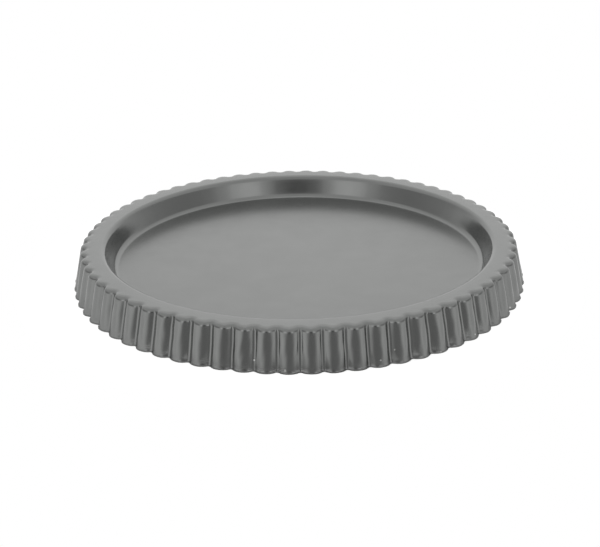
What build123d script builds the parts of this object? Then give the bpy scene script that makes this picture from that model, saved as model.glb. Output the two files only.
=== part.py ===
from build123d import *
from math import cos, pi, radians, sin, tan
import os

# A fluted flan tin with a raised centre, upside down on its open rim.
# The origin is the centre of the rim plane, +Z points up and a groove faces +X.
# Seen like this, the outside of the tin is on top and the baking side is underneath.
# The tin is one steel pressing between two coats, so every layer follows one surface:
# a depth is how far a layer lies inside the visible outside, square to the sheet.

# Overall form
rim_diameter = 280.0
tin_height = 24.4
skirt_draft = radians(13.0)
rim_radius = rim_diameter / 2

# Layers of the sheet, from the outside to the baking side
outer_coat_thickness = 0.04
steel_thickness = 0.5
baking_coat_thickness = 0.04
bare_edge_height = 0.2

# Flutes of the skirt, seen from outside, which deepen from the rim to the shoulder
flute_count = 68
rim_flute_depth = 2.2
top_flute_depth = 2.7
groove_radius = 3.0
half_pitch = pi / flute_count

# Rounded top of the flutes: a shallow crown leaves the flat ring, then a tighter shoulder
# turns down into the skirt. Two facets stand for both, and they meet at facet_turn.
# A turn is how far the surface there leans away from level.
crown_radius = 9.0
crown_turn = radians(12.0)
shoulder_radius = 2.8
facet_turn = radians(25.0)
shoulder_centre = tin_height - crown_radius + (crown_radius - shoulder_radius) * cos(crown_turn)

# Round well in the top, which is the raised centre on the baking side
well_mouth_radius = 119.8
well_depth = 13.6
well_draft = radians(22.0)
well_mouth_rounding = 3.6
well_foot_rounding = 3.8

# How far a cutting body reaches past what it cuts
overrun = 1.0


def on_circle(radius, angle):
    return (radius * cos(angle), radius * sin(angle))


def skirt_radius(height):
    """Radius of the flute tips on the straight part of the skirt."""
    return rim_radius - height * tan(skirt_draft)


def fluted_section(height, tip_radius, inset):
    """Outline of the skirt: each flute is a lobe arc and a groove arc that touch smoothly.

    The tip radius sets the flute, and the inset then draws the outline in evenly.
    """
    rise_share = (rim_radius - tip_radius) / (tin_height * tan(skirt_draft))
    depth = rim_flute_depth + (top_flute_depth - rim_flute_depth) * rise_share
    groove_floor = tip_radius - depth
    groove_centre = groove_floor + groove_radius
    groove_along = groove_centre * cos(half_pitch)
    groove_across = groove_centre * sin(half_pitch)
    reach = (tip_radius - groove_along) ** 2 + groove_across**2
    lobe = (reach - groove_radius**2) / (2 * (tip_radius - groove_along + groove_radius))
    lobe_centre = tip_radius - lobe
    joint_share = (lobe - inset) / (lobe + groove_radius)
    joint_x = lobe_centre + joint_share * (groove_along - lobe_centre)
    joint_y = joint_share * groove_across
    next_joint = Vector(joint_x, -joint_y).rotate(Axis.Z, 360 / flute_count)
    with BuildLine() as flute:
        ThreePointArc((joint_x, -joint_y), (tip_radius - inset, 0), (joint_x, joint_y))
        ThreePointArc(
            (joint_x, joint_y),
            on_circle(groove_floor - inset, half_pitch),
            next_joint,
        )
    with BuildSketch(Plane.XY.offset(height)) as section:
        with BuildLine():
            with PolarLocations(0, flute_count, start_angle=180 / flute_count):
                add(flute.line)
        make_face()
    return section.sketch


def fluted_block(depth, base):
    """Sections of the full fluted block at a depth, from its base to its flat top."""
    shoulder = shoulder_radius - depth
    crown = crown_radius - depth
    wall_end = shoulder_centre + shoulder * sin(skirt_draft)
    wall_inset = depth / cos(skirt_draft)
    facet_height = shoulder_centre + shoulder * cos(facet_turn)
    facet_inset = wall_inset + shoulder * (cos(skirt_draft) - sin(facet_turn))
    crown_inset = wall_inset + shoulder * (cos(skirt_draft) - sin(crown_turn))
    flat_inset = crown_inset + crown * sin(crown_turn)
    tip_radius = skirt_radius(wall_end)
    return [
        fluted_section(base, skirt_radius(base), wall_inset),
        fluted_section(wall_end, tip_radius, wall_inset),
        fluted_section(facet_height, tip_radius, facet_inset),
        fluted_section(tin_height - depth, tip_radius, flat_inset),
    ]


def well_corners(depth):
    """Sharp corners of the well's section at a depth, from the axis to the gutter floor."""
    floor_height = tin_height - well_depth - depth
    wall_shift = depth / cos(well_draft)
    foot_radius = well_mouth_radius - (well_depth + depth) * tan(well_draft) + wall_shift
    mouth_radius = well_mouth_radius - depth * tan(well_draft) + wall_shift
    return [
        (0, floor_height),
        (foot_radius, floor_height),
        (mouth_radius, tin_height - depth),
        (gutter_radius, tin_height - depth),
    ]


def well_line(depth):
    return FilletPolyline(
        *well_corners(depth),
        radius=[well_foot_rounding + depth, well_mouth_rounding - depth],
    )


def pressed_layer(name, depth, thickness, base):
    """One layer of the sheet: the fluted skirt, its gutter floor and the well inside it."""
    with BuildPart() as layer:
        loft(fluted_block(depth, base), ruled=True)
        loft(fluted_block(depth + thickness, -overrun), ruled=True, mode=Mode.SUBTRACT)
        with BuildSketch(Plane.XY.offset(tin_height)):
            Circle(gutter_radius)
        extrude(amount=-thickness - depth - overrun, mode=Mode.SUBTRACT)
        with BuildSketch(Plane.XZ):
            with BuildLine():
                visible = well_line(depth)
                hidden = well_line(depth + thickness)
                Line(visible @ 0, hidden @ 0)
                Line(visible @ 1, hidden @ 1)
            make_face()
        revolve(axis=Axis.Z)
    layer.part.label = name
    export_step(layer.part, f"parts/{name}.step")
    return layer.part


# Where the well's revolved sheet meets the fluted one, midway across the gutter floor
rounding_width = shoulder_radius + crown_radius * sin(crown_turn)
groove_floor_radius = skirt_radius(tin_height) - top_flute_depth - rounding_width
gutter_radius = (well_mouth_radius + well_mouth_rounding + groove_floor_radius) / 2

os.makedirs("parts", exist_ok=True)

steel_depth = outer_coat_thickness
baking_coat_depth = steel_depth + steel_thickness

outer_coat = pressed_layer("outer_coat", 0, outer_coat_thickness, bare_edge_height)
steel_pressing = pressed_layer("steel_pressing", steel_depth, steel_thickness, 0)
baking_coat = pressed_layer("baking_coat", baking_coat_depth, baking_coat_thickness, bare_edge_height)
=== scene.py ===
import math

import bpy
import numpy as np
from mathutils import Matrix, Vector


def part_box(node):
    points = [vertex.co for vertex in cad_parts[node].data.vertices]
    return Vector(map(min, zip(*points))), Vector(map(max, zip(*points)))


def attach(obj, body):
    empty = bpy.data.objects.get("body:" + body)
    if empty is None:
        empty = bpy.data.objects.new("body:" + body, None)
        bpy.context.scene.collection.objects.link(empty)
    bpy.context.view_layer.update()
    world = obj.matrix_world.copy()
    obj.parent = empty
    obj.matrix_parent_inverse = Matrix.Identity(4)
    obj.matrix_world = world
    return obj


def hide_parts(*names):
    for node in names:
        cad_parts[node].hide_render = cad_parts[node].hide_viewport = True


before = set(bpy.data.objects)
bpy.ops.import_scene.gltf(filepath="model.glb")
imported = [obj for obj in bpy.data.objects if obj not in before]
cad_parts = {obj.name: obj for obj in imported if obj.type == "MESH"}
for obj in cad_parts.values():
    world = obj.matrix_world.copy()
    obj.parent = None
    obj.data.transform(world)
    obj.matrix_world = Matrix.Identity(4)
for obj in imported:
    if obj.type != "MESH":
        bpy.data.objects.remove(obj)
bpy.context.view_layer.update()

MM = 0.001

# The coated tin, in metres. It stands upside down on its open rim, with +Z up.
_, COAT_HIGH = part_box("outer_coat")
_, STEEL_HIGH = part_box("steel_pressing")
_, BAKING_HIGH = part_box("baking_coat")
TIN_HEIGHT = COAT_HIGH.z
COAT = COAT_HIGH.z - STEEL_HIGH.z
SHEET = STEEL_HIGH.z - BAKING_HIGH.z

FLUTES = 68
HALF_PITCH = math.pi / FLUTES
RIM_RADIUS = 140 * MM
RIM_FLUTE_DEPTH = 2.35 * MM
TOP_FLUTE_DEPTH = 2.6 * MM
GROOVE_RADIUS = 1.8 * MM
SKIRT_DRAFT = math.radians(13.0)

# The top of the skirt is rounded by a shallow crown and a tighter shoulder below it
CROWN_RADIUS = 9.0 * MM
CROWN_TURN = math.radians(12)
SHOULDER_RADIUS = 2.8 * MM

WELL_MOUTH = 119.8 * MM
WELL_DEPTH = 13.6 * MM
WELL_DRAFT = math.radians(22)
MOUTH_ROUNDING = 3.6 * MM
FOOT_ROUNDING = 3.8 * MM

# The trimmed edge of the rim turns out in a tiny lip
LIP_BEND = 0.25 * MM
LIP_FLAT = 0.1 * MM

# The pressing is a little uneven: shallow waves run round and up the skirt. Their sum is
# cut off at the crest, which lies on the true radius, so the skirt never stands outside it.
WAVE_SEED = 11
WAVE_COUNT = 30
WAVE_DEPTH = 0.05 * MM
WAVES_ROUND = (40, 150)
WAVE_LENGTHS = (9 * MM, 45 * MM)
WAVE_CREST = 2.0

LOBE_STEPS = 12
GROOVE_STEPS = 8
COLUMNS_PER_FLUTE = LOBE_STEPS + GROOVE_STEPS
COLUMNS = FLUTES * COLUMNS_PER_FLUTE
SPOKES_PER_FLUTE = 4
SPOKES = FLUTES * SPOKES_PER_FLUTE
COLUMNS_PER_SPOKE = COLUMNS_PER_FLUTE // SPOKES_PER_FLUTE

# Rows of the mesh along each stretch of the sheet's section, with both of its ends
LIP_ROWS = 5
WALL_ROWS = 12
SHOULDER_ROWS = 8
CROWN_ROWS = 4
WELL_ROUNDING_ROWS = 9
WELL_WALL_ROWS = 5
# The flat ring's rows pass from the fluted outline to a circle just inside the grooves
RING_SHARES = (0.4, 0.75, 1.0)
RING_INSET = 1.2 * MM
# Rows on the floor of the well, as shares of its radius
WELL_FLOOR_SHARES = (0.93, 0.8, 0.6, 0.35, 0.12)
# The mesh is shown sharp where it bends by more than this
SHARP_ANGLE = math.radians(40)


def fluted_ring(tip_radius, inset):
    """The skirt's outline at one height: rows of x, y, by lobe arc and groove arc."""
    rise_share = (RIM_RADIUS - tip_radius) / (TIN_HEIGHT * math.tan(SKIRT_DRAFT))
    depth = RIM_FLUTE_DEPTH + (TOP_FLUTE_DEPTH - RIM_FLUTE_DEPTH) * rise_share
    groove_centre = tip_radius - depth + GROOVE_RADIUS
    along = groove_centre * math.cos(HALF_PITCH)
    across = groove_centre * math.sin(HALF_PITCH)
    reach = (tip_radius - along) ** 2 + across**2
    lobe = (reach - GROOVE_RADIUS**2) / (2 * (tip_radius - along + GROOVE_RADIUS))
    lobe_centre = tip_radius - lobe
    lean = math.atan2(across, along - lobe_centre)
    lobe_turn = np.linspace(-lean, lean, LOBE_STEPS, endpoint=False)
    lobe_x = lobe_centre + (lobe - inset) * np.cos(lobe_turn)
    lobe_y = (lobe - inset) * np.sin(lobe_turn)
    swing = lean - HALF_PITCH
    groove_turn = np.linspace(-swing, swing, GROOVE_STEPS, endpoint=False)
    groove_out = groove_centre - (GROOVE_RADIUS + inset) * np.cos(groove_turn)
    groove_side = (GROOVE_RADIUS + inset) * np.sin(groove_turn)
    groove_x = groove_out * math.cos(HALF_PITCH) - groove_side * math.sin(HALF_PITCH)
    groove_y = groove_out * math.sin(HALF_PITCH) + groove_side * math.cos(HALF_PITCH)
    x = np.concatenate([lobe_x, groove_x])
    y = np.concatenate([lobe_y, groove_y])
    turn = HALF_PITCH + 2 * HALF_PITCH * np.arange(FLUTES)[:, None]
    return np.stack(
        [
            (x * np.cos(turn) - y * np.sin(turn)).ravel(),
            (x * np.sin(turn) + y * np.cos(turn)).ravel(),
        ],
        axis=1,
    )


def wall_tip(height):
    """Tip radius of the skirt's straight wall, which ends inside the lip at the rim."""
    drop = (1 - height / TIN_HEIGHT) * (LIP_BEND + LIP_FLAT)
    return RIM_RADIUS - height * math.tan(SKIRT_DRAFT) - drop


def uneven(angle, height):
    """How far the uneven skirt lies inside its true radius, as a value of zero or less."""
    random = np.random.default_rng(WAVE_SEED)
    total = np.zeros_like(angle)
    for _ in range(WAVE_COUNT):
        waves_round = random.integers(*WAVES_ROUND)
        turn_up = random.choice((-1, 1)) * 2 * math.pi * height / random.uniform(*WAVE_LENGTHS)
        total += np.cos(waves_round * angle + turn_up + random.uniform(0, 2 * math.pi))
    spread = total / math.sqrt(WAVE_COUNT / 2)
    return WAVE_DEPTH * np.minimum(spread - WAVE_CREST, 0)


def skirt_rows(depth):
    """Rows of height, tip radius and inset up the skirt at a depth, from lip to gutter."""
    full = 2 * COAT + SHEET
    lip_centre = full + LIP_BEND
    rows = []
    wall_start = wall_tip(lip_centre)
    edge = LIP_BEND + LIP_FLAT
    rows.append((full - depth, wall_start, -edge))
    for turn in np.linspace(math.pi / 2, SKIRT_DRAFT, LIP_ROWS):
        reach = LIP_BEND + depth
        height = lip_centre - reach * math.sin(turn)
        rows.append((height, wall_start, -LIP_BEND + reach * math.cos(turn)))
    shoulder = SHOULDER_RADIUS - depth
    crown = CROWN_RADIUS - depth
    crown_centre = TIN_HEIGHT - CROWN_RADIUS
    shoulder_centre = crown_centre + (CROWN_RADIUS - SHOULDER_RADIUS) * math.cos(CROWN_TURN)
    start = shoulder_centre + shoulder * math.sin(SKIRT_DRAFT)
    inset = depth / math.cos(SKIRT_DRAFT)
    low = rows[-1][0]
    for share in np.linspace(0, 1, WALL_ROWS)[1:]:
        height = low + (start - low) * share
        rows.append((height, wall_tip(height), inset))
    for turn in np.linspace(math.pi / 2 - SKIRT_DRAFT, CROWN_TURN, SHOULDER_ROWS)[1:]:
        height = shoulder_centre + shoulder * math.cos(turn)
        drawn_in = inset + shoulder * (math.cos(SKIRT_DRAFT) - math.sin(turn))
        rows.append((height, wall_tip(start), drawn_in))
    crown_inset = rows[-1][2]
    for turn in np.linspace(CROWN_TURN, 0, CROWN_ROWS)[1:]:
        height = crown_centre + crown * math.cos(turn)
        drawn_in = crown_inset + crown * (math.sin(CROWN_TURN) - math.sin(turn))
        rows.append((height, wall_tip(start), drawn_in))
    return rows


def well_rows(depth):
    """Rows of radius and height of the round well at a depth, from the gutter to the middle."""
    gutter = TIN_HEIGHT - depth
    floor = gutter - WELL_DEPTH
    tan = math.tan(WELL_DRAFT)
    shift = depth / math.cos(WELL_DRAFT)
    mouth = WELL_MOUTH - depth * tan + shift
    foot = WELL_MOUTH - (WELL_DEPTH + depth) * tan + shift
    corner = (math.pi / 2 - WELL_DRAFT) / 2
    rows = []
    mouth_round = MOUTH_ROUNDING - depth
    mouth_centre = mouth + mouth_round * math.tan(corner)
    for turn in np.linspace(math.pi / 2, math.pi - WELL_DRAFT, WELL_ROUNDING_ROWS):
        rows.append(
            (
                mouth_centre + mouth_round * math.cos(turn),
                gutter - mouth_round + mouth_round * math.sin(turn),
            )
        )
    foot_round = FOOT_ROUNDING + depth
    foot_centre = foot - foot_round * math.tan(corner)
    foot_rows = []
    for turn in np.linspace(-WELL_DRAFT, -math.pi / 2, WELL_ROUNDING_ROWS):
        foot_rows.append(
            (
                foot_centre + foot_round * math.cos(turn),
                floor + foot_round + foot_round * math.sin(turn),
            )
        )
    wall_top = np.array(rows[-1])
    wall_foot = np.array(foot_rows[0])
    for share in np.linspace(0, 1, WELL_WALL_ROWS)[1:-1]:
        rows.append(tuple(wall_top + (wall_foot - wall_top) * share))
    rows.extend(foot_rows)
    edge = foot_rows[-1][0]
    for share in WELL_FLOOR_SHARES:
        rows.append((edge * share, floor))
    return rows


def sheet_side(depth):
    """Vertices and faces of one side of the sheet, from the rim's edge to the middle."""
    rings = []
    for height, tip, inset in skirt_rows(depth):
        ring = fluted_ring(tip, inset)
        radius = np.hypot(ring[:, 0], ring[:, 1])
        turn = np.arctan2(ring[:, 1], ring[:, 0])
        ring *= (1 + uneven(turn, height) / radius)[:, None]
        rings.append(np.column_stack([ring, np.full(COLUMNS, height)]))
    rounds = well_rows(depth)
    shoulder = rings[-1]
    angle = np.arctan2(shoulder[:, 1], shoulder[:, 0])
    inner = np.hypot(shoulder[:, 0], shoulder[:, 1]).min() - RING_INSET
    circle = np.column_stack([np.cos(angle), np.sin(angle)]) * inner
    for share in RING_SHARES:
        flat = shoulder[:, :2] + (circle - shoulder[:, :2]) * share
        rings.append(np.column_stack([flat, shoulder[:, 2]]))
    wide = len(rings)
    points = list(rings)
    spoke_angle = angle[::COLUMNS_PER_SPOKE]
    for radius, height in rounds:
        points.append(
            np.column_stack(
                [
                    radius * np.cos(spoke_angle),
                    radius * np.sin(spoke_angle),
                    np.full(SPOKES, height),
                ]
            )
        )
    faces = []
    for row in range(wide - 1):
        low = row * COLUMNS
        for column in range(COLUMNS):
            after = (column + 1) % COLUMNS
            faces.append((low + column, low + after, low + COLUMNS + after, low + COLUMNS + column))
    fine = (wide - 1) * COLUMNS
    coarse = wide * COLUMNS
    for spoke in range(SPOKES):
        fan = [
            fine + (spoke * COLUMNS_PER_SPOKE + step) % COLUMNS
            for step in range(COLUMNS_PER_SPOKE + 1)
        ]
        faces.append((*fan, coarse + (spoke + 1) % SPOKES, coarse + spoke))
    for row in range(len(rounds) - 1):
        low = coarse + row * SPOKES
        for spoke in range(SPOKES):
            after = (spoke + 1) % SPOKES
            faces.append((low + spoke, low + after, low + SPOKES + after, low + SPOKES + spoke))
    last = coarse + (len(rounds) - 1) * SPOKES
    faces.append(tuple(last + spoke for spoke in range(SPOKES)))
    return np.concatenate(points), faces


def sheet_layer(name, node, depth, thickness, material):
    """A closed layer of the sheet between two depths, joined along the rim's cut edge."""
    outside, faces = sheet_side(depth)
    inside, _ = sheet_side(depth + thickness)
    count = len(outside)
    turned = [tuple(count + index for index in reversed(face)) for face in faces]
    edge = []
    for column in range(COLUMNS):
        after = (column + 1) % COLUMNS
        edge.append((after, column, count + column, count + after))
    mesh = bpy.data.meshes.new(name)
    mesh.from_pydata(np.concatenate([outside, inside]).tolist(), [], faces + turned + edge)
    mesh.update()
    mesh.shade_smooth()
    mesh.set_sharp_from_angle(angle=SHARP_ANGLE)
    mesh.materials.append(material)
    piece = bpy.data.objects.new(name, mesh)
    bpy.context.scene.collection.objects.link(piece)
    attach(piece, "root")
    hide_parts(node)


def new_material(name):
    material = bpy.data.materials.new(name)
    material.use_nodes = True
    tree = material.node_tree
    shader = tree.nodes["Principled BSDF"]
    return material, tree, shader


def node(tree, kind, **values):
    """A new node, with its sockets and settings given by name."""
    made = tree.nodes.new(kind)
    for key, value in values.items():
        if key in made.inputs:
            made.inputs[key].default_value = value
        else:
            setattr(made, key, value)
    return made


def smooth_step(tree, value, start, end, low=0.0, high=1.0):
    """A soft rise or fall of a value between two limits."""
    step = node(tree, "ShaderNodeMapRange", interpolation_type="SMOOTHSTEP")
    step.inputs["From Min"].default_value = start
    step.inputs["From Max"].default_value = end
    step.inputs["To Min"].default_value = low
    step.inputs["To Max"].default_value = high
    tree.links.new(value, step.inputs["Value"])
    return step.outputs["Result"]


def maths(tree, operation, *values):
    made = node(tree, "ShaderNodeMath", operation=operation)
    for socket, value in zip(made.inputs, values):
        if isinstance(value, (int, float)):
            socket.default_value = value
        else:
            tree.links.new(value, socket)
    return made.outputs[0]


# Tone and roughness of the coats outside and on the baking side
OUTSIDE_TONE = (0.265, 0.27, 0.265)
OUTSIDE_ROUGHNESS = 0.25
BAKING_TONE = (0.24, 0.245, 0.24)
BAKING_ROUGHNESS = 0.36
COAT_METALLIC = 0.88
# The wall of the well is glossier than its floor, and the drawn skirt more so
WALL_ROUGHNESS = 0.19
DRAWN_ROUGHNESS = 0.14
# The coat's tone is faintly mottled, and its gloss varies in smaller patches
MOTTLE_SCALE = 60.0
MOTTLE_DETAIL = 5.0
MOTTLE_LIMITS = (0.3, 0.7)
MOTTLE_SHARE = 0.03
GLOSS_SCALE = 220.0
GLOSS_DETAIL = 3.0
GLOSS_SPREAD = 0.03
# Its skin is a fine orange peel
PEEL_SCALE = 900.0
PEEL_DETAIL = 2.0
PEEL_STRENGTH = 0.25
PEEL_DEPTH = 0.03 * MM
# Painted glints: tiny bright specks in the coat's colour low on the skirt stand in for glints of
# light
GLINT_SPECKS_PER_METRE = 120.0
GLINT_SPECK_RADIUS = 0.55 * MM
GLINT_SPECK_HEIGHT = 12 * MM
GLINT_SPECK_TONE = (0.62, 0.62, 0.61)
# Fine ripples that the press left in patches of the lowest part of the skirt. They are
# full up to a share of their height and fade out above it.
RIPPLE_SCALE = 340.0
RIPPLE_HEIGHT = 6 * MM
RIPPLE_DEPTH = 0.02 * MM
RIPPLE_DISTORTION = 7.0
RIPPLE_DISTORTION_SCALE = 0.4
RIPPLE_FULL_SHARE = 0.3
RIPPLE_PATCHES = (0.42, 0.62)
# The sheared edge of the sheet
EDGE_TONES = ((0.28, 0.28, 0.275), (0.5, 0.5, 0.49))
EDGE_ROUGHNESS = 0.42
EDGE_GRAIN_SCALE = 1500.0
EDGE_GRAIN_DETAIL = 2.0


def coated_metal(name, tone, roughness):
    """Satin grey coat over sheet steel, faintly mottled, with a fine orange-peel skin."""
    material, tree, shader = new_material(name)
    link = tree.links.new
    place = node(tree, "ShaderNodeTexCoord").outputs["Object"]
    mottle = node(tree, "ShaderNodeTexNoise", Scale=MOTTLE_SCALE, Detail=MOTTLE_DETAIL)
    link(place, mottle.inputs["Vector"])
    colour = node(tree, "ShaderNodeValToRGB")
    shades = (1 - MOTTLE_SHARE, 1 + MOTTLE_SHARE)
    for element, limit, shade in zip(colour.color_ramp.elements, MOTTLE_LIMITS, shades):
        element.position = limit
        element.color = (*(shade * c for c in tone), 1)
    link(mottle.outputs["Fac"], colour.inputs["Fac"])
    # Painted glints: small spots of lighter base colour, standing in for glints of light
    cells = node(tree, "ShaderNodeTexVoronoi", Scale=GLINT_SPECKS_PER_METRE)
    link(place, cells.inputs["Vector"])
    glint_speck = maths(tree, "LESS_THAN", cells.outputs["Distance"], GLINT_SPECK_RADIUS * GLINT_SPECKS_PER_METRE)
    glint_specked = node(tree, "ShaderNodeMix", data_type="RGBA")
    glint_specked.inputs["B"].default_value = (*GLINT_SPECK_TONE, 1)
    link(colour.outputs["Color"], glint_specked.inputs["A"])
    link(glint_specked.outputs["Result"], shader.inputs["Base Color"])
    patches = node(tree, "ShaderNodeTexNoise", Scale=GLOSS_SCALE, Detail=GLOSS_DETAIL)
    link(place, patches.inputs["Vector"])
    split = node(tree, "ShaderNodeSeparateXYZ")
    link(place, split.inputs[0])
    squares = [maths(tree, "MULTIPLY", side, side) for side in split.outputs[:2]]
    radius = maths(tree, "SQRT", maths(tree, "ADD", *squares))
    foot = WELL_MOUTH - WELL_DEPTH * math.tan(WELL_DRAFT)
    in_well = smooth_step(tree, radius, foot - FOOT_ROUNDING, foot, roughness, WALL_ROUGHNESS)
    beyond = smooth_step(
        tree, radius, WELL_MOUTH, WELL_MOUTH + MOUTH_ROUNDING, 0.0, DRAWN_ROUGHNESS - WALL_ROUGHNESS
    )
    steep = maths(tree, "ADD", in_well, beyond)
    outside = maths(tree, "GREATER_THAN", radius, WELL_MOUTH + MOUTH_ROUNDING)
    low_skirt = maths(tree, "LESS_THAN", split.outputs["Z"], GLINT_SPECK_HEIGHT)
    on_skirt = maths(tree, "MULTIPLY", outside, low_skirt)
    # The painted glint specks are kept to the skirt, below their height
    link(maths(tree, "MULTIPLY", glint_speck, on_skirt), glint_specked.inputs["Factor"])
    uneven_gloss = maths(
        tree, "MULTIPLY_ADD", patches.outputs["Fac"], 2 * GLOSS_SPREAD, -GLOSS_SPREAD
    )
    gloss = maths(tree, "ADD", steep, uneven_gloss)
    link(gloss, shader.inputs["Roughness"])
    peel = node(tree, "ShaderNodeTexNoise", Scale=PEEL_SCALE, Detail=PEEL_DETAIL)
    link(place, peel.inputs["Vector"])
    skin = node(tree, "ShaderNodeBump", Strength=PEEL_STRENGTH, Distance=PEEL_DEPTH)
    link(peel.outputs["Fac"], skin.inputs["Height"])
    ripples = node(tree, "ShaderNodeTexWave", Scale=RIPPLE_SCALE, Distortion=RIPPLE_DISTORTION)
    ripples.bands_direction = "Z"
    ripples.inputs["Detail Scale"].default_value = RIPPLE_DISTORTION_SCALE
    link(place, ripples.inputs["Vector"])
    full_height = RIPPLE_FULL_SHARE * RIPPLE_HEIGHT
    low_down = smooth_step(tree, split.outputs["Z"], full_height, RIPPLE_HEIGHT, 1.0, 0.0)
    in_patches = smooth_step(tree, mottle.outputs["Fac"], *RIPPLE_PATCHES)
    pressed = node(tree, "ShaderNodeBump", Distance=RIPPLE_DEPTH)
    link(maths(tree, "MULTIPLY", low_down, in_patches), pressed.inputs["Strength"])
    link(ripples.outputs["Fac"], pressed.inputs["Height"])
    link(skin.outputs["Normal"], pressed.inputs["Normal"])
    link(pressed.outputs["Normal"], shader.inputs["Normal"])
    shader.inputs["Metallic"].default_value = COAT_METALLIC
    return material


def bare_steel(name):
    """The sheared edge of the sheet: bright and finely grained."""
    material, tree, shader = new_material(name)
    link = tree.links.new
    place = node(tree, "ShaderNodeTexCoord").outputs["Object"]
    grain = node(tree, "ShaderNodeTexNoise", Scale=EDGE_GRAIN_SCALE, Detail=EDGE_GRAIN_DETAIL)
    link(place, grain.inputs["Vector"])
    colour = node(tree, "ShaderNodeValToRGB")
    for element, tone in zip(colour.color_ramp.elements, EDGE_TONES):
        element.color = (*tone, 1)
    link(grain.outputs["Fac"], colour.inputs["Fac"])
    link(colour.outputs["Color"], shader.inputs["Base Color"])
    shader.inputs["Metallic"].default_value = 1.0
    shader.inputs["Roughness"].default_value = EDGE_ROUGHNESS
    return material


# The studio's light by the direction it comes from: stops of level along the angle round
# the tin, in degrees from the camera's side. Low down, as the skirt mirrors it, it is the
# white sweep under a dim front, which is narrower on the left.
LOW_RIGHT_STOPS = (
    (0, 0.28),
    (24, 0.29),
    (33, 0.35),
    (42, 0.5),
    (50, 0.68),
    (58, 0.82),
    (66, 0.86),
    (74, 0.8),
    (84, 0.74),
    (108, 0.74),
    (120, 0.68),
    (136, 0.64),
    (156, 0.8),
    (180, 0.95),
)
LOW_LEFT_STOPS = (
    (0, 0.28),
    (15, 0.3),
    (23, 0.4),
    (31, 0.57),
    (41, 0.76),
    (52, 0.87),
    (66, 0.92),
    (74, 0.86),
    (84, 0.8),
    (108, 0.78),
    (120, 0.72),
    (136, 0.66),
    (156, 0.8),
    (180, 0.95),
)
# Above it stand a softbox on each side of the camera, dim walls and a bright back
MIDDLE_STOPS = (
    (0, 0.09),
    (9, 0.18),
    (17, 0.46),
    (25, 0.98),
    (33, 1.14),
    (40, 1.0),
    (48, 0.66),
    (60, 0.39),
    (72, 0.35),
    (84, 0.37),
    (100, 0.43),
    (120, 0.58),
    (140, 0.73),
    (160, 0.88),
    (180, 0.98),
)
# Overhead is a pale ceiling
HIGH_STOPS = (
    (0, 0.58),
    (12, 0.6),
    (24, 0.68),
    (40, 0.72),
    (60, 0.66),
    (120, 0.7),
    (150, 0.8),
    (180, 0.92),
)
# The floor near the tin, as its coat mirrors it, by the angle round the tin
FLOOR_STOPS = (
    (0, 0.3),
    (10, 0.42),
    (22, 0.7),
    (40, 0.84),
    (80, 0.78),
    (105, 0.72),
    (180, 0.72),
)
# Sine of the height angle over which one ring of levels gives way to the next
LOW_TO_MIDDLE = (0.05, 0.16)
MIDDLE_TO_HIGH = (0.46, 0.57)
# Sideways part of a direction over which the left ring gives way to the right one
LEFT_TO_RIGHT = (-0.12, 0.12)
# The floor is a round patch of the white sweep, which goes on as the world's own light
FLOOR_RADIUS = 175 * MM
FLOOR_SIDES = 128
FLOOR_GLOW = 0.7
FLOOR_TONE = 0.7
FLOOR_ROUGHNESS = 0.9
# The mirrored floor carries a painted contact shadow: its glow darkens towards the rim that stands on
# it
CONTACT_SHADOW_WIDTH = 9 * MM
CONTACT_SHADOW_SHARE = 0.5

# How bright the world is to the camera itself
WHITE_LEVEL = 1.0

# Where the photograph was taken from, with the shift of its middle in pixels
PHOTO_WIDTH = 600
SHIFT_ACROSS = 1.0
SHIFT_UP = 0.6
LENS = 82.86
SENSOR_WIDTH = 36.0
CLIP_START = 0.01
CLIP_END = 50.0
CAMERA_DISTANCE = 6.2 * RIM_RADIUS
CAMERA_PITCH = math.radians(22.72)
CAMERA_ROLL = math.radians(0.865)


def add_camera():
    data = bpy.data.cameras.new("camera")
    data.sensor_width = SENSOR_WIDTH
    data.lens = LENS
    data.shift_x = SHIFT_ACROSS / PHOTO_WIDTH
    data.shift_y = SHIFT_UP / PHOTO_WIDTH
    data.clip_start = CLIP_START
    data.clip_end = CLIP_END
    camera = bpy.data.objects.new("camera", data)
    bpy.context.scene.collection.objects.link(camera)
    back = Vector((0, -math.cos(CAMERA_PITCH), math.sin(CAMERA_PITCH)))
    right = Vector((1, 0, 0))
    up = back.cross(right)
    turned_right = math.cos(CAMERA_ROLL) * right - math.sin(CAMERA_ROLL) * up
    turned_up = math.sin(CAMERA_ROLL) * right + math.cos(CAMERA_ROLL) * up
    axes = Matrix((turned_right, turned_up, back)).transposed()
    camera.matrix_world = Matrix.Translation(back * CAMERA_DISTANCE) @ axes.to_4x4()
    bpy.context.scene.camera = camera


def level_by_angle(tree, angle, stops):
    """A level that follows stops of degrees and level along an angle up to half a turn."""
    ramp = node(tree, "ShaderNodeValToRGB")
    elements = ramp.color_ramp.elements
    while len(elements) < len(stops):
        elements.new(0.5)
    for element, (degrees, level) in zip(elements, stops):
        element.position = degrees / 180
        element.color = (level, level, level, 1)
    share = maths(tree, "DIVIDE", angle, math.pi)
    tree.links.new(share, ramp.inputs["Fac"])
    return ramp.outputs["Color"]


def angle_round(tree, across, along):
    """Angle round the horizon from the camera's side, the same to the left and right."""
    return maths(tree, "ARCTAN2", maths(tree, "ABSOLUTE", across), maths(tree, "MULTIPLY", along, -1))


def blended(tree, share, first, second):
    blend = node(tree, "ShaderNodeMix", data_type="FLOAT")
    tree.links.new(share, blend.inputs["Factor"])
    tree.links.new(first, blend.inputs["A"])
    tree.links.new(second, blend.inputs["B"])
    return blend.outputs["Result"]


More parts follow.
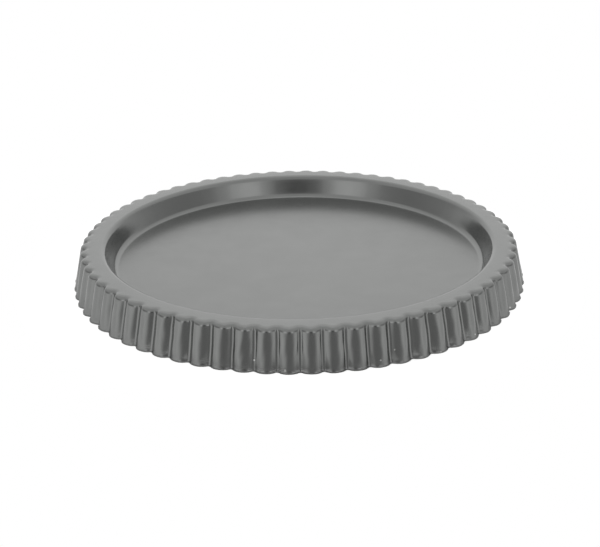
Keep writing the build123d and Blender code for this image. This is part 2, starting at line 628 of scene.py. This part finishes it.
def studio_level(tree, across, along, up):
    """Brightness of the studio in a direction."""
    angle = angle_round(tree, across, along)
    left = level_by_angle(tree, angle, LOW_LEFT_STOPS)
    right = level_by_angle(tree, angle, LOW_RIGHT_STOPS)
    low = blended(tree, smooth_step(tree, across, *LEFT_TO_RIGHT), left, right)
    middle = level_by_angle(tree, angle, MIDDLE_STOPS)
    high = level_by_angle(tree, angle, HIGH_STOPS)
    lower = blended(tree, smooth_step(tree, up, *LOW_TO_MIDDLE), low, middle)
    return blended(tree, smooth_step(tree, up, *MIDDLE_TO_HIGH), lower, high)


def add_world():
    world = bpy.data.worlds.new("studio")
    bpy.context.scene.world = world
    world.use_nodes = True
    tree = world.node_tree
    link = tree.links.new
    background = tree.nodes["Background"]
    split = node(tree, "ShaderNodeSeparateXYZ")
    link(node(tree, "ShaderNodeTexCoord").outputs["Generated"], split.inputs[0])
    level = studio_level(tree, *split.outputs)
    seen = node(tree, "ShaderNodeLightPath")
    mix = node(tree, "ShaderNodeMix", data_type="FLOAT")
    mix.inputs["B"].default_value = WHITE_LEVEL
    link(seen.outputs["Is Camera Ray"], mix.inputs["Factor"])
    link(level, mix.inputs["A"])
    link(mix.outputs["Result"], background.inputs["Strength"])
    background.inputs["Color"].default_value = (1, 1, 1, 1)


def add_floor():
    mesh = bpy.data.meshes.new("floor")
    turns = np.arange(FLOOR_SIDES) * 2 * math.pi / FLOOR_SIDES
    corners = [(FLOOR_RADIUS * math.cos(a), FLOOR_RADIUS * math.sin(a), 0) for a in turns]
    mesh.from_pydata(corners, [], [tuple(range(FLOOR_SIDES))])
    floor = bpy.data.objects.new("floor", mesh)
    bpy.context.scene.collection.objects.link(floor)
    material, tree, shader = new_material("pale_floor")
    link = tree.links.new
    shader.inputs["Base Color"].default_value = (FLOOR_TONE, FLOOR_TONE, FLOOR_TONE, 1)
    shader.inputs["Roughness"].default_value = FLOOR_ROUGHNESS
    seen = node(tree, "ShaderNodeLightPath")
    glow = node(tree, "ShaderNodeEmission", Strength=FLOOR_GLOW)
    lit = node(tree, "ShaderNodeAddShader")
    link(shader.outputs[0], lit.inputs[0])
    link(glow.outputs[0], lit.inputs[1])
    place = node(tree, "ShaderNodeNewGeometry").outputs["Position"]
    split = node(tree, "ShaderNodeSeparateXYZ")
    link(place, split.inputs[0])
    level = level_by_angle(tree, angle_round(tree, *split.outputs[:2]), FLOOR_STOPS)
    away = node(tree, "ShaderNodeVectorMath", operation="LENGTH")
    link(place, away.inputs[0])
    # Painted contact shadow: the floor's glow for mirrored rays is dimmed near the rim
    painted_contact_shadow = smooth_step(
        tree, away.outputs["Value"], RIM_RADIUS, RIM_RADIUS + CONTACT_SHADOW_WIDTH, CONTACT_SHADOW_SHARE, 1.0
    )
    sweep = node(tree, "ShaderNodeEmission")
    link(maths(tree, "MULTIPLY", level, painted_contact_shadow), sweep.inputs["Strength"])
    glossy = node(tree, "ShaderNodeMixShader")
    link(seen.outputs["Is Glossy Ray"], glossy.inputs[0])
    link(shader.outputs[0], glossy.inputs[1])
    link(sweep.outputs[0], glossy.inputs[2])
    mix = node(tree, "ShaderNodeMixShader")
    link(seen.outputs["Is Camera Ray"], mix.inputs[0])
    link(glossy.outputs[0], mix.inputs[1])
    link(lit.outputs[0], mix.inputs[2])
    link(mix.outputs[0], tree.nodes["Material Output"].inputs["Surface"])
    mesh.materials.append(material)


add_camera()
add_world()
add_floor()
bpy.context.scene.view_settings.view_transform = "Standard"

outside_material = coated_metal("grey_coat", OUTSIDE_TONE, OUTSIDE_ROUGHNESS)
baking_material = coated_metal("nonstick_coat", BAKING_TONE, BAKING_ROUGHNESS)
edge_material = bare_steel("cut_edge")
sheet_layer("outer_coat_skin", "outer_coat", 0, COAT, outside_material)
sheet_layer("steel_sheet", "steel_pressing", COAT, SHEET, edge_material)
sheet_layer("baking_coat_skin", "baking_coat", COAT + SHEET, COAT, baking_material)
